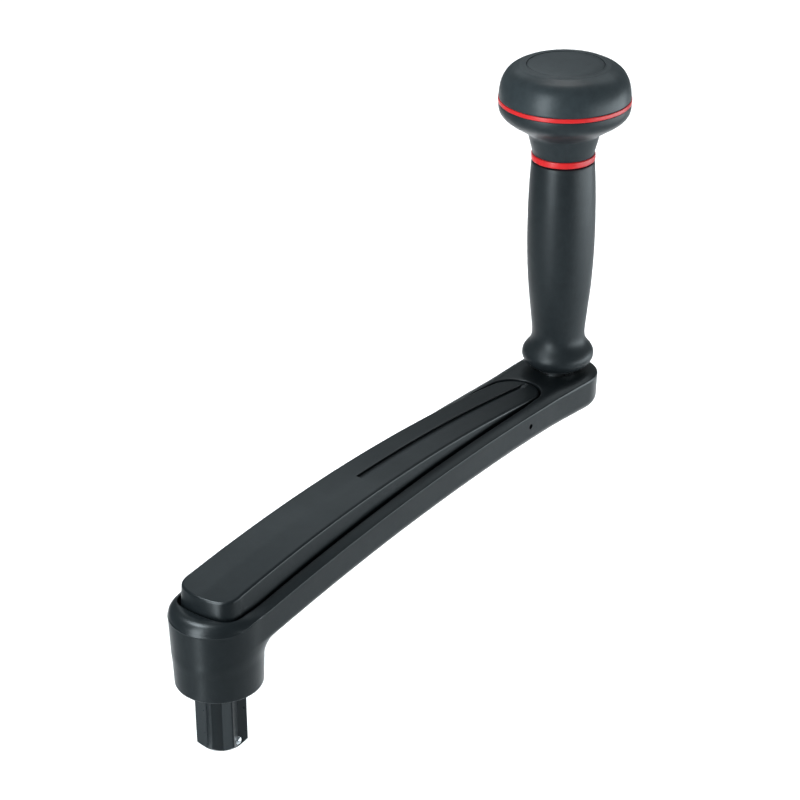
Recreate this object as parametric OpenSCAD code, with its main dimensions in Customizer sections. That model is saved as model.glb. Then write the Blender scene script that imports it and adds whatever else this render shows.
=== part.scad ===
// Locking winch handle with a full-length release lever, a spinning grip
// and a free-turning palm knob.
// Frame: +Z up along the drive axis, origin where the drive axis meets the
// flat seat under the hub, +X along the arm to the grip axis.  Millimetres.

/* [Arm] */
// Distance from the drive axis to the grip axis
arm_reach = 254; // [253:0.5:256]
// Half width of the arm
arm_w = 20.2; // [19.8:0.1:20.4]
// Depth of the arm from top to underside
arm_t = 17.8; // [17.4:0.1:18.4]
// Radius of the arc that the arm's top follows
arm_arc_r = 1240; // [1220:5:1260]
// Height of the arm's highest point
arm_top = 54.0; // [53.8:0.05:54.3]
// Rounding along the arm's upper edges
arm_edge_top = 6; // [4:0.5:6.5]
// Rounding along the arm's lower edges
arm_edge_low = 5; // [4:0.5:6.5]

/* [Hub] */
// Hub radius at the seat
hub_r_low = 19.6; // [19.2:0.1:20]
// Hub radius at the start of its upper rounding
hub_r_top = 21.2; // [21:0.1:21.6]
// Height of the hub's flat top
hub_h = 39.8; // [39.6:0.1:40.2]

/* [Drive stub] */
// Width across the flats of each of the star's two squares (11/16 inch)
star_af = 17.46; // [17.3:0.02:17.5]
// Radius to the truncated points of the star
star_point_r = 12.1; // [11.8:0.1:12.3]
// Length of the stub below the seat
star_len = 31.6; // [31.2:0.1:32]
// Chamfer at the stub's lower end
star_chamfer = 2.6; // [2.2:0.1:2.8]

/* [Lock] */
// Radius of a lock ball
ball_r = 2.4; // [2.3:0.05:2.4]
// Height of the balls' centres
ball_z = -28.2; // [-28.2:0.1:-27.8]
// Distance of a ball's centre from the drive axis when locked
ball_x = 8.5; // [8.5:0.01:8.52]
// Radius of the plunger's land
plunger_r = 6.2; // [6.15:0.01:6.2]

/* [Release lever] */
// Radius of the arc that the lever's top follows
lever_arc_r = 858; // [850:1:866]
// Height of the lever's highest point
lever_top = 59.17; // [59:0.05:59.4]
// Half width of the lever at the hub end
lever_w_hub = 15.1; // [14.9:0.1:15.2]
// Half width of the lever at the pivot end
lever_w_end = 12.7; // [12.4:0.1:12.8]
// Gap round the lever in its channel
lever_gap = 1.3; // [1.1:0.1:1.4]
// Wall of the lever moulding
lever_wall = 2.4; // [2:0.1:2.8]

/* [Grip] */
// Height of the grip's lower end
grip_z0 = 56.2; // [56.2:0.05:56.3]
// Height of the grip's upper end
grip_z1 = 164.2; // [163.9:0.1:164.3]
// Radius of the spindle that the grip turns on
spindle_r = 6; // [5.95:0.01:6]

/* [Knob] */
// Largest radius of the knob
knob_r = 31.6; // [31.4:0.1:31.8]
// Height of the top of the knob
knob_top_z = 212.8; // [212.4:0.1:213.2]
// Radius of the cap in the top of the knob
cap_r = 18.5; // [18:0.1:19]

/* [Hidden] */
$fn = 96;
arc_x = arm_reach - 56;                 // where the arm is highest
arc_cz = arm_top - arm_arc_r;           // centre of the arm's arcs
lever_x = 131.5;                        // where the lever is highest
lever_cz = lever_top - lever_arc_r;
pivot_x = 204.5;
pivot_z = 46;
pin_r = 1.25;
floor_r = arm_arc_r - 7.5;              // arc of the channel's floor
skirt_r = arm_arc_r - 2.2;              // arc of the lever's lower edge
end_a = asin((arm_reach - arc_x) / arm_arc_r);
start_a = asin(arc_x / arm_arc_r);
spot_z = 52.4;                          // spot face under the grip
collar_h = 2.4;                         // spindle's collar on the spot face
bush_r = 8.5;
seam = 195.75;                          // where the knob's upper shell starts

// ---------- shared shapes ----------

// Section of the arm: height 0 to t, half width w, rounded edges.
// x is the height, y the width, ready for a revolve about the arc's centre.
module arm_section(x0, w, t, ru, rl) {
    translate([x0, 0]) {
        translate([rl, -w]) square([t - rl - ru, 2 * w]);
        translate([0, -w + rl]) square([rl + 0.01, 2 * (w - rl)]);
        translate([t - ru - 0.01, -w + ru]) square([ru + 0.01, 2 * (w - ru)]);
        for (s = [-1, 1]) {
            translate([rl, s * (w - rl)]) circle(r = rl);
            translate([t - ru, s * (w - ru)]) circle(r = ru);
        }
    }
}

// The same section's right half, for the round end.
module arm_half_section(w, t, ru, rl) {
    intersection() {
        rotate(90) arm_section(0, w, t, ru, rl);
        translate([0, -1]) square([w + 1, t + 2]);
    }
}

// A cylinder across the arm, used to cut along one of the arcs.
module across(r, cx, cz, h = 60) {
    translate([cx, h / 2, cz]) rotate([90, 0, 0]) cylinder(r = r, h = h, $fn = 1440);
}

// Outline of the lever seen from above, g larger all round.
module lever_outline(g) {
    xe = 219.5;
    x0 = -11.5 - g;
    c = 7 + g;
    wh = lever_w_hub + g;
    we = lever_w_end + g;
    polygon([[x0 + c, -wh], [xe, -we], [xe, we], [x0 + c, wh]]);
    translate([xe, 0]) circle(r = we);
    translate([x0, -(wh - c)]) square([c + 1, 2 * (wh - c)]);
    for (s = [-1, 1]) translate([x0 + c, s * (wh - c)]) circle(r = c);
}

// Eight-point star: two squares, points cut back to a circle, with the
// valleys at 0, 45, 90 ... degrees from the arm.
module star(af, rp) {
    intersection() {
        rotate(22.5) union() {
            square([af, af], center = true);
            rotate(45) square([af, af], center = true);
        }
        circle(r = rp);
    }
}

module tube(r1, r0, z0, z1) {
    translate([0, 0, z0]) difference() {
        cylinder(r = r1, h = z1 - z0);
        translate([0, 0, -1]) cylinder(r = r0, h = z1 - z0 + 2);
    }
}

module at_grip() { translate([arm_reach, 0, 0]) children(); }

// ---------- arm ----------

module arm_body() {
    // curved bar
    translate([arc_x, 0, arc_cz]) rotate([90, 0, 0]) rotate([0, 0, 90 - end_a])
        rotate_extrude(angle = end_a + start_a, $fn = 1440)
            arm_section(arm_arc_r - arm_t, arm_w, arm_t, arm_edge_top, arm_edge_low);
    // round end about the grip axis, square to the arc
    translate([arc_x, 0, arc_cz]) rotate([0, end_a, 0])
        translate([0, 0, arm_arc_r - arm_t]) rotate([0, 0, -90])
            rotate_extrude(angle = 180)
                arm_half_section(arm_w, arm_t, arm_edge_top, arm_edge_low);
    // hub
    rotate_extrude() {
        polygon([[0, 0], [hub_r_low - 0.8, 0], [hub_r_low, 0.8],
                 [hub_r_top, hub_h - 5.5], [hub_r_top - 5.5, hub_h - 0.01],
                 [hub_r_top - 5.5, hub_h], [0, hub_h]]);
        intersection() {
            translate([hub_r_top - 5.5, hub_h - 5.5]) circle(r = 5.5);
            translate([hub_r_top - 5.5, hub_h - 5.5]) square(6);
        }
    }
}

module arm() {
    color([0.13, 0.15, 0.16]) difference() {
        arm_body();
        // channel for the lever
        difference() {
            translate([0, 0, 20]) linear_extrude(60) lever_outline(lever_gap);
            across(floor_r, arc_x, arc_cz, 80);
        }
        // well for the lever's pivot boss
        translate([pivot_x - 6.8, -8.6, 42.2]) cube([13.6, 17.2, 20]);
        // pivot pin hole, right through
        translate([pivot_x, 30, pivot_z]) rotate([90, 0, 0]) cylinder(r = pin_r, h = 60);
        // drive stub: star socket, round seat, nut pocket
        translate([0, 0, -1]) linear_extrude(11) star(star_af, star_point_r);
        cylinder(r = 9, h = 30);
        translate([0, 0, 24]) cylinder(r = 14.6, h = 20);
        // spindle: bolt hole, nut pocket below, spot face above
        at_grip() {
            cylinder(r = 5, h = 80);
            translate([0, 0, 20]) cylinder(r = 10.5, h = 24);
            translate([0, 0, spot_z]) cylinder(r = 12.6, h = 10);
        }
    }
}

// ---------- drive stub and lock ----------

module drive_stub() {
    color([0.17, 0.19, 0.2]) difference() {
        union() {
            intersection() {
                translate([0, 0, -star_len]) linear_extrude(star_len + 10) star(star_af, star_point_r);
                // chamfered lower end
                union() {
                    translate([0, 0, -star_len]) cylinder(r1 = star_point_r - star_chamfer, r2 = star_point_r + 0.1, h = star_chamfer + 0.1);
                    translate([0, 0, -star_len + star_chamfer + 0.1]) cylinder(r = star_point_r + 0.1, h = star_len + 20);
                }
            }
            translate([0, 0, 9.9]) cylinder(r = 9, h = 14.1);
            translate([0, 0, 23.9]) cylinder(r = 8, h = 5.6);
        }
        translate([0, 0, -star_len - 1]) cylinder(r = plunger_r + 0.05, h = star_len - 11);
        translate([0, 0, -20]) cylinder(r = 4.6, h = 60);
        // ball bores across, narrowed at the mouth to keep the balls in
        for (s = [-1, 1]) {
            translate([0, 0, ball_z]) rotate([-90 * s, 0, 0]) {
                cylinder(r = ball_r + 0.05, h = ball_x + 1.15);
                cylinder(r = ball_r - 0.28, h = 20);
            }
        }
    }
}

module stub_nut() {
    color([0.62, 0.64, 0.66]) difference() {
        translate([0, 0, 24]) cylinder(r = 13.8, h = 5, $fn = 6);
        cylinder(r = 8, h = 60);
    }
}

module lock_plunger() {
    color([0.7, 0.71, 0.73]) union() {
        translate([0, 0, ball_z - 1.5]) cylinder(r = plunger_r, h = 0.5);
        translate([0, 0, ball_z - 1]) cylinder(r1 = plunger_r, r2 = 4.3, h = 1.8);
        translate([0, 0, ball_z + 0.8]) cylinder(r = 4.3, h = 4.7);
        translate([0, 0, ball_z + 5.5]) cylinder(r = plunger_r, h = -15 - ball_z - 5.5);
        translate([0, 0, -15]) cylinder(r = 4.55, h = 51);
        translate([0, 0, 35.9]) cylinder(r = 3, h = 2.5);
    }
}

module plunger_button() {
    color([0.12, 0.13, 0.14]) difference() {
        translate([0, 0, 36]) rotate_extrude()
            polygon([[0, 0], [8.5, 0], [8.5, 1.9], [7.8, 2.6], [0, 2.6]]);
        translate([0, 0, 30]) cylinder(r = 3, h = 8.4);
    }
}

// Round wire swept along a coil whose end turns lie flat.
spring_mean = 6.55;
wire_r = 0.45;
spring_z0 = 29.55;
spring_z1 = 35.95;
spring_turns = 3.5;
spring_n = 84;
spring_m = 8;
function spring_lift(t) = t < 0.75 ? 0 : t > spring_turns - 0.75 ? 1 :
    (t - 0.75) / (spring_turns - 1.5);
function spring_c(i) = let (t = spring_turns * i / spring_n)
    [spring_mean * cos(360 * t), spring_mean * sin(360 * t),
     spring_z0 + wire_r + 0.0 + spring_lift(t) * (spring_z1 - spring_z0 - 2 * wire_r)];
module plunger_spring() {
    pts = [for (i = [0 : spring_n]) let (c = spring_c(i), a = 360 * spring_turns * i / spring_n)
           for (j = [0 : spring_m - 1]) let (b = 360 * j / spring_m)
           [c[0] + wire_r * cos(b) * cos(a), c[1] + wire_r * cos(b) * sin(a), c[2] + wire_r * sin(b)]];
    m = spring_m;
    n = spring_n;
    sides = [for (i = [0 : n - 1]) for (j = [0 : m - 1]) let (k = (j + 1) % m)
             each [[i * m + j, i * m + k, (i + 1) * m + k], [i * m + j, (i + 1) * m + k, (i + 1) * m + j]]];
    cap0 = [for (j = [1 : m - 2]) [0, j + 1, j]];
    cap1 = [for (j = [1 : m - 2]) [n * m, n * m + j, n * m + j + 1]];
    color([0.75, 0.76, 0.78]) polyhedron(points = pts, faces = concat(sides, cap0, cap1));
}

module lock_ball(s) {
    color([0.8, 0.81, 0.83]) translate([0, s * ball_x, ball_z]) sphere(r = ball_r);
}
module lock_ball_front() { lock_ball(-1); }
module lock_ball_rear() { lock_ball(1); }

// ---------- release lever ----------

module lever_prism(g, rt) {
    intersection() {
        linear_extrude(80) lever_outline(g);
        across(rt, lever_x, lever_cz, 50);
    }
}

module release_lever() {
    color([0.12, 0.135, 0.145]) difference() {
        union() {
            // shell: top plate and side walls
            difference() {
                lever_prism(0, lever_arc_r);
                across(skirt_r, arc_x, arc_cz, 70);
                lever_prism(-lever_wall, lever_arc_r - 3);
            }
            // cross ribs under the top plate
            difference() {
                intersection() {
                    lever_prism(-0.5, lever_arc_r - 1);
                    for (x = [30 : 30 : 180]) translate([x - 1, -20, 30]) cube([2, 40, 40]);
                }
                across(skirt_r + 1.5, arc_x, arc_cz, 70);
            }
            // boss that bears on the plunger's button
            intersection() {
                lever_prism(-1, lever_arc_r - 1);
                translate([0, 0, 38.7]) cylinder(r = 5, h = 20);
            }
            // pivot boss, reaching down into its well
            intersection() {
                lever_prism(-1, lever_arc_r - 1);
                translate([pivot_x - 5, -8, 42.8]) cube([10, 16, 20]);
            }
            // foot that stops the lever's lift on the channel's floor
            difference() {
                intersection() {
                    lever_prism(-1, lever_arc_r - 1);
                    translate([218, -5, 40]) cube([6, 10, 20]);
                }
                across(floor_r + 0.1, arc_x, arc_cz, 70);
            }
        }
        // bore for the pivot pin
        translate([pivot_x, 30, pivot_z]) rotate([90, 0, 0]) cylinder(r = pin_r + 0.05, h = 60);
        // groove along the middle of the top
        difference() {
            translate([97, -1.35, 40]) cube([129, 2.7, 40]);
            across(lever_arc_r - 0.8, lever_x, lever_cz, 50);
        }
    }
}

module lever_pivot_pin() {
    color([0.7, 0.71, 0.73]) translate([pivot_x, 17.5, pivot_z]) rotate([90, 0, 0]) cylinder(r = pin_r, h = 35);
}

// ---------- spindle and its fixing ----------

module spindle() {
    color([0.7, 0.71, 0.73]) at_grip() difference() {
        union() {
            translate([0, 0, 36.4]) cylinder(r = 5, h = 17);
            translate([0, 0, spot_z]) cylinder(r = 9.5, h = collar_h);
            translate([0, 0, spot_z + collar_h - 0.1]) cylinder(r = spindle_r, h = 165 - spot_z - collar_h + 0.1);
            translate([0, 0, 164.9]) cylinder(r = 5, h = 198.5 - 164.9);
        }
        // circlip groove
        tube(spindle_r + 1, 5.3, 159.6, 160.8);
        // tapped hole for the knob's screw
        translate([0, 0, 180]) cylinder(r = 3, h = 30);
    }
}

module spindle_washer() {
    color([0.7, 0.71, 0.73]) at_grip() tube(9.8, 5.1, 42.5, 44);
}

module spindle_nut() {
    color([0.62, 0.64, 0.66]) at_grip() difference() {
        translate([0, 0, 37.5]) cylinder(r = 9.7, h = 5, $fn = 6);
        cylinder(r = 5, h = 60);
    }
}

module grip_thrust_washer() {
    color([0.8, 0.81, 0.83]) at_grip() tube(12, spindle_r + 0.05, spot_z + collar_h, 56.1);
}

// ---------- grip ----------

// Radius and height: a bead at the foot, a waist, and a long belly.
module grip() {
    h = grip_z1 - grip_z0;
    foot = [[13.2, 0], [15.2, 0.65], [16.6, 1.95], [17.45, 3.5], [17.8, 4.5], [17.9, 5.4],
            [17.75, 6.4], [17.35, 7.6], [16.7, 8.8], [15.9, 9.9], [15.1, 10.9], [14.4, 12],
            [13.8, 13.2], [13.4, 14.6], [13.2, 16]];
    body = [[13.1, 74], [13.2, 76], [13.45, 79], [13.8, 82], [14.2, 86], [14.6, 90], [15.0, 94],
            [15.35, 98], [15.7, 103], [16.0, 108], [16.25, 113], [16.4, 118], [16.5, 124],
            [16.53, 129], [16.5, 135], [16.42, 141], [16.25, 147], [16.0, 153], [15.7, 158.5]];
    color([0.2, 0.22, 0.23]) at_grip() difference() {
        rotate_extrude() polygon(concat([[0, grip_z0]], [for (p = foot) [p[0], grip_z0 + p[1]]], body,
            [[15.35, grip_z1 - 0.8], [15.2, grip_z1 - 0.3], [14.8, grip_z1], [0, grip_z1]]));
        translate([0, 0, grip_z0 - 1]) cylinder(r = bush_r, h = h + 2);
        translate([0, 0, grip_z0 - 1]) cylinder(r = 10.5, h = 2.5);
        translate([0, 0, 158]) cylinder(r = 10.5, h = 20);
    }
}

module grip_bush_lower() {
    color([0.85, 0.84, 0.8]) at_grip() difference() {
        union() {
            translate([0, 0, grip_z0]) cylinder(r = 10.5, h = 1.5);
            translate([0, 0, grip_z0]) cylinder(r = bush_r, h = 20);
        }
        cylinder(r = spindle_r + 0.05, h = 300);
    }
}

module grip_bush_upper() {
    color([0.85, 0.84, 0.8]) at_grip() difference() {
        union() {
            translate([0, 0, 158]) cylinder(r = 10.5, h = 1.5);
            translate([0, 0, 139.5]) cylinder(r = bush_r, h = 20);
        }
        cylinder(r = spindle_r + 0.05, h = 300);
    }
}

module grip_circlip() {
    color([0.45, 0.46, 0.48]) at_grip() difference() {
        tube(8.2, 5.3, 159.65, 160.75);
        translate([0, -1.6, 150]) cube([20, 3.2, 20]);
    }
}

// ---------- knob ----------

module neck_ring() {
    color([0.86, 0.1, 0.1]) at_grip() rotate_extrude()
        polygon([[13, 165], [14.9, 165], [15.35, 165.35], [15.35, 167.4], [15.1, 167.7], [13, 167.7]]);
}

module knob_base() {
    color([0.17, 0.19, 0.2]) at_grip() difference() {
        rotate_extrude()
            polygon([[0, 165.1], [13, 165.1], [13, 167.7], [14.8, 167.7], [15.0, 168.6], [15.35, 170.2],
                     [15.8, 171.8], [16.25, 173.6], [16.8, 175.6], [17.3, 177.4], [17.9, 178.6],
                     [19.2, 179.6], [21.3, 180.9], [24.3, 182.8], [27.3, 184.9], [29.4, 186.8],
                     [30.8, 188.9], [31.5, 191], [knob_r + 0.1, 193], [knob_r + 0.1, 194.2], [28, 194.2],
                     [28, 189.2], [25, 186.4], [20, 183.6], [12.4, 182.4], [12.4, 198], [0, 198]]);
        translate([0, 0, 160]) cylinder(r = 7.8, h = 50);
        translate([0, 0, 196.9]) cylinder(r = 10.6, h = 10);
    }
}

module knob_bush() {
    color([0.85, 0.84, 0.8]) at_grip() difference() {
        union() {
            translate([0, 0, 165.1]) cylinder(r = 7.8, h = 33.3);
            translate([0, 0, 196.9]) cylinder(r = 10.5, h = 1.5);
        }
        cylinder(r = 5.05, h = 300);
    }
}

module knob_band() {
    color([0.86, 0.1, 0.1]) at_grip() tube(knob_r + 0.22, 28, 194.2, seam);
}

// Height of the dome at radius r: nearly flat on top, then rolling over.
function dome(r, rr, zt) = zt - 19.45 + 19.45 * pow(max(0, 1 - pow(r / rr, 5)), 0.372);
module knob_top() {
    rs = [20.5, 22, 23.5, 25, 26.2, 27.3, 28.2, 29, 29.6, 30.2, 30.7, 31.1, 31.35];
    outer = [for (r = rs) [r * knob_r / 31.6, dome(r, 31.6, knob_top_z)]];
    inner = [for (i = [len(rs) - 2 : -1 : 0]) [(rs[i] - 3) * knob_r / 31.6, dome(rs[i], 31.6, knob_top_z) - 3]];
    color([0.2, 0.22, 0.23]) at_grip() rotate_extrude()
        polygon(concat([[cap_r + 0.15, knob_top_z - 0.75]], outer,
            [[knob_r, 198.6], [knob_r, seam], [28, seam], [28, 189.3], [26.4, 189.3], [26.4, seam + 1]],
            [for (p = inner) if (p[1] > seam + 2 && p[0] < 26.4) p],
            [[14, knob_top_z - 5], [12, knob_top_z - 5], [12, knob_top_z - 2.8], [cap_r + 0.15, knob_top_z - 2.8]]));
}

module knob_cap() {
    color([0.18, 0.2, 0.21]) at_grip() rotate_extrude()
        polygon([[0, knob_top_z - 2.7], [10.7, knob_top_z - 2.7], [10.7, knob_top_z - 5],
                 [12, knob_top_z - 5], [12, knob_top_z - 2.7], [cap_r, knob_top_z - 2.7],
                 [cap_r, knob_top_z - 0.9], [cap_r - 0.5, knob_top_z - 0.4], [cap_r - 4, knob_top_z - 0.15],
                 [cap_r - 9, knob_top_z], [0, knob_top_z]]);
}

module knob_washer() {
    color([0.7, 0.71, 0.73]) at_grip() tube(9.5, 3.1, 198.5, 200);
}

module knob_screw() {
    color([0.62, 0.64, 0.66]) at_grip() difference() {
        union() {
            translate([0, 0, 183]) cylinder(r = 3, h = 17.5);
            translate([0, 0, 200]) cylinder(r = 5.25, h = 3.3);
        }
        translate([0, 0, 201.3]) cylinder(r = 2.3, h = 5, $fn = 6);
    }
}

// ---------- what is drawn ----------

arm();
drive_stub();
stub_nut();
lock_plunger();
plunger_button();
plunger_spring();
lock_ball_front();
lock_ball_rear();
release_lever();
lever_pivot_pin();
spindle();
spindle_washer();
spindle_nut();
grip_thrust_washer();
grip();
grip_bush_lower();
grip_bush_upper();
grip_circlip();
neck_ring();
knob_base();
knob_bush();
knob_band();
knob_top();
knob_cap();
knob_washer();
knob_screw();
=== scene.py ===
"""Looks of the locking winch handle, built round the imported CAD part.

Shapes are worked out in millimetres in the row's frame and written as metres.
"""

import math

import bpy
import bmesh
import numpy as np
from mathutils import Matrix


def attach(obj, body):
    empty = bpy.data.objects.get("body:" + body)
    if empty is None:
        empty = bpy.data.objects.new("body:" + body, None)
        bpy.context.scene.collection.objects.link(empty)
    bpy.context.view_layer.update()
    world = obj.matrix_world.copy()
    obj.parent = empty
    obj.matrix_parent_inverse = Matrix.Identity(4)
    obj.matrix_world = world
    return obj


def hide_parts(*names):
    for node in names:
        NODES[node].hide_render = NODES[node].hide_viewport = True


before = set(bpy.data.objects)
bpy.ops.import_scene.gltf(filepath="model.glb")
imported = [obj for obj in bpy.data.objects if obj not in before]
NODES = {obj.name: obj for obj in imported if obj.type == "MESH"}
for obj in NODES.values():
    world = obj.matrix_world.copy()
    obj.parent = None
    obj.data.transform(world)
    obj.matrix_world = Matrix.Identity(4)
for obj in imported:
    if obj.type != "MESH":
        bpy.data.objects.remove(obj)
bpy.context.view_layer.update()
PI = math.pi


# ------------------------------------------------------------------ meshes

def smooth_by_angle(obj, deg=32):
    me = obj.data
    me.polygons.foreach_set("use_smooth", [True] * len(me.polygons))
    me.set_sharp_from_angle(angle=math.radians(deg))
    me.update()


def mesh_object(name, verts_mm, faces, deg=32):
    me = bpy.data.meshes.new(name)
    me.from_pydata([tuple(v) for v in np.asarray(verts_mm, float) * 0.001], [], faces)
    bm = bmesh.new()
    bm.from_mesh(me)
    bmesh.ops.remove_doubles(bm, verts=bm.verts, dist=2e-6)
    bmesh.ops.dissolve_degenerate(bm, edges=bm.edges, dist=1e-7)
    bmesh.ops.recalc_face_normals(bm, faces=bm.faces)
    bm.to_mesh(me)
    bm.free()
    obj = bpy.data.objects.new(name, me)
    bpy.context.scene.collection.objects.link(obj)
    smooth_by_angle(obj, deg)
    return obj


def band_faces(start, rows, n):
    """Quads between closed loops that follow each other."""
    out = []
    for a in range(rows - 1):
        p, q = start + a * n, start + (a + 1) * n
        for i in range(n):
            j = (i + 1) % n
            out.append((p + i, p + j, q + j, q + i))
    return out


def zip_faces(start, n):
    """Closes a loop that is symmetric about the X axis, with loop[0] and loop[n/2] on the axis."""
    out = []
    for i in range(n // 2):
        a, b = i, i + 1
        c, d = (n - i - 1) % n, (n - i) % n
        ids = []
        for k in (a, b, c, d):
            if not ids or k != ids[-1]:
                ids.append(k)
        ids = list(dict.fromkeys(ids))
        if len(ids) >= 3:
            out.append(tuple(start + k for k in ids))
    return out


def loops_object(name, loops, deg=32):
    """A closed skin through symmetric loops, zipped shut at both ends."""
    n = len(loops[0])
    verts = np.concatenate(loops)
    faces = band_faces(0, len(loops), n)
    faces += zip_faces(0, n) + zip_faces((len(loops) - 1) * n, n)
    return mesh_object(name, verts, faces, deg)


def mirrored(half):
    """Near side from the hub end to the far end, then the far side back."""
    far = half[-2:0:-1].copy()
    far[:, 1] *= -1
    return np.concatenate([half, far])


def spline(points, step):
    """Points along a centripetal Catmull-Rom curve."""
    p = np.asarray(points, float)
    p = np.vstack([2 * p[0] - p[1], p, 2 * p[-1] - p[-2]])
    out = []
    for k in range(1, len(p) - 2):
        p0, p1, p2, p3 = p[k - 1:k + 3]
        t0 = 0.0
        t1 = t0 + max(np.linalg.norm(p1 - p0), 1e-6) ** 0.5
        t2 = t1 + max(np.linalg.norm(p2 - p1), 1e-6) ** 0.5
        t3 = t2 + max(np.linalg.norm(p3 - p2), 1e-6) ** 0.5
        m = max(1, int(round(np.linalg.norm(p2 - p1) / step)))
        for t in np.linspace(t1, t2, m, endpoint=False):
            a1 = (t1 - t) / (t1 - t0) * p0 + (t - t0) / (t1 - t0) * p1
            a2 = (t2 - t) / (t2 - t1) * p1 + (t - t1) / (t2 - t1) * p2
            a3 = (t3 - t) / (t3 - t2) * p2 + (t - t2) / (t3 - t2) * p3
            b1 = (t2 - t) / (t2 - t0) * a1 + (t - t0) / (t2 - t0) * a2
            b2 = (t3 - t) / (t3 - t1) * a2 + (t - t1) / (t3 - t1) * a3
            out.append((t2 - t) / (t2 - t1) * b1 + (t - t1) / (t2 - t1) * b2)
    out.append(p[-2])
    return [tuple(v) for v in out]


def rounded(profile, radii, n=5):
    """A closed (r, z) profile with its corners rounded."""
    out = []
    m = len(profile)
    for k in range(m):
        a, b, c = (np.array(profile[(k + d) % m], float) for d in (-1, 0, 1))
        r = radii.get(k, 0)
        if r <= 0:
            out.append(tuple(b))
            continue
        u, v = a - b, c - b
        lu, lv = np.linalg.norm(u), np.linalg.norm(v)
        u, v = u / lu, v / lv
        t = min(r, 0.49 * lu, 0.49 * lv)
        p, q = b + u * t, b + v * t
        for s in np.linspace(0, 1, n):
            out.append(tuple((1 - s) ** 2 * p + 2 * s * (1 - s) * b + s * s * q))
    return out


def revolve(name, profile, x0=254.0, seg=168, deg=32):
    """A ring or body turned about the vertical axis at x0, from a closed (r, z) profile."""
    prof = np.asarray(profile, float)
    m = len(prof)
    a = np.arange(seg) * 2 * PI / seg
    verts = np.zeros((m * seg, 3))
    verts[:, 0] = x0 + np.outer(prof[:, 0], np.cos(a)).ravel()
    verts[:, 1] = np.outer(prof[:, 0], np.sin(a)).ravel()
    verts[:, 2] = np.repeat(prof[:, 1], seg)
    faces = []
    for k in range(m):
        p, q = k * seg, ((k + 1) % m) * seg
        for i in range(seg):
            j = (i + 1) % seg
            faces.append((p + i, p + j, q + j, q + i))
    return mesh_object(name, verts, faces, deg)


def rod(name, radius, lo, hi, n=96, axis="z", centre=(0, 0)):
    """A closed rod used for cutting and joining. centre is given in the plane across its axis."""
    a = np.arange(n) * 2 * PI / n
    c, s = radius * np.cos(a) + centre[0], radius * np.sin(a) + centre[1]
    rings = []
    for h in (lo, hi):
        o = np.full(n, h)
        rings.append(np.stack([c, s, o] if axis == "z" else [c, o, s], -1))
    faces = [(i, (i + 1) % n, n + (i + 1) % n, n + i) for i in range(n)]
    faces += [tuple(range(n - 1, -1, -1)), tuple(range(n, 2 * n))]
    return mesh_object(name, np.concatenate(rings), faces)


def box_solid(name, lo, hi):
    x0, y0, z0 = lo
    x1, y1, z1 = hi
    v = [(x, y, z) for z in (z0, z1) for y in (y0, y1) for x in (x0, x1)]
    f = [(0, 2, 3, 1), (4, 5, 7, 6), (0, 1, 5, 4), (2, 6, 7, 3), (0, 4, 6, 2), (1, 3, 7, 5)]
    return mesh_object(name, v, f)


def combine(obj, tool, how):
    """A boolean, applied at once. The tool is used up."""
    mod = obj.modifiers.new("cut", "BOOLEAN")
    mod.operation = how
    mod.solver = "MANIFOLD"
    mod.object = tool
    dg = bpy.context.evaluated_depsgraph_get()
    new = bpy.data.meshes.new_from_object(obj.evaluated_get(dg))
    obj.modifiers.clear()
    old = obj.data
    if len(new.polygons) > 3:
        obj.data = new
        bpy.data.meshes.remove(old)
    else:
        print("BOOLEAN_EMPTY", obj.name, tool.name)
    me = tool.data
    bpy.data.objects.remove(tool)
    bpy.data.meshes.remove(me)
    smooth_by_angle(obj)
    return obj


def sstep(x, a, b):
    t = np.clip((x - a) / (b - a), 0, 1)
    return t * t * (3 - 2 * t)


def polar(path, origin):
    """Angle and radius of a path's points about origin, the angle rising."""
    q = path - np.array(origin)
    th = np.arctan2(q[:, 1], q[:, 0])
    r = np.hypot(q[:, 0], q[:, 1])
    th = np.where(th > 0.001, th - 2 * PI, th)      # near side: from -180 to 0 degrees
    o = np.argsort(th)
    return th[o], r[o]


# ------------------------------------------------------------------ lever outline, shared with its channel

def outline(x0, big, c, xs, ws):
    """Near side of a long rounded outline: hub end at x0, bowed to radius big, half widths ws at xs.

    c is the radius of its corners. The last of ws is also the radius of the pivot end, about the last of xs.
    """
    wh, we, xe = ws[0], ws[-1], xs[-1]
    turn = math.asin((wh - c) / (big - c))
    pts = [(x0 + big - big * math.cos(a), -big * math.sin(a)) for a in np.linspace(0, turn, 24)]
    ux, uy = x0 + big - (big - c) * math.cos(turn), -(wh - c)
    for a in np.linspace(turn, PI / 2, 40)[1:]:
        pts.append((ux - c * math.cos(a), uy - c * math.sin(a)))
    for x in np.linspace(ux, xe, 60)[1:]:
        pts.append((x, -float(np.interp(x, (ux, *xs[1:]), ws))))
    for a in np.linspace(-90, 0, 90)[1:]:
        pts.append((xe + we * math.cos(math.radians(a)), we * math.sin(math.radians(a))))
    return np.array(pts)


LEVER_EDGE = outline(-11.1, 27.0, 7.4, (0, 216.6), (15.1, 12.5))         # round the lever's top
LEVER_FOOT = outline(-11.5, 48.0, 8.0, (0, 216.6), (15.55, 12.75))      # round its lower edge
CHANNEL = outline(-12.5, 60.0, 8.8, (0, 12, 70, 100, 130, 190, 206, 216.6),
                  (16.6, 16.4, 16.0, 15.7, 15.3, 14.9, 14.5, 13.6))


def width_at(path, x):
    body = path[(path[:, 0] > -2)]
    k = np.argmin(body[:, 1])
    xs, ys = path[:, 0], -path[:, 1]
    top = slice(int(np.argmax(ys)), None)
    return np.interp(x, xs[top], ys[top])


# ------------------------------------------------------------------ arm

ARC_X, ARM_R = 198.0, 1240.0
TOP_C = 54.5 - ARM_R
LOW_R, LOW_C = 1222.2, 54.0 - ARM_R
FLOOR_R = 1232.5


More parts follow.
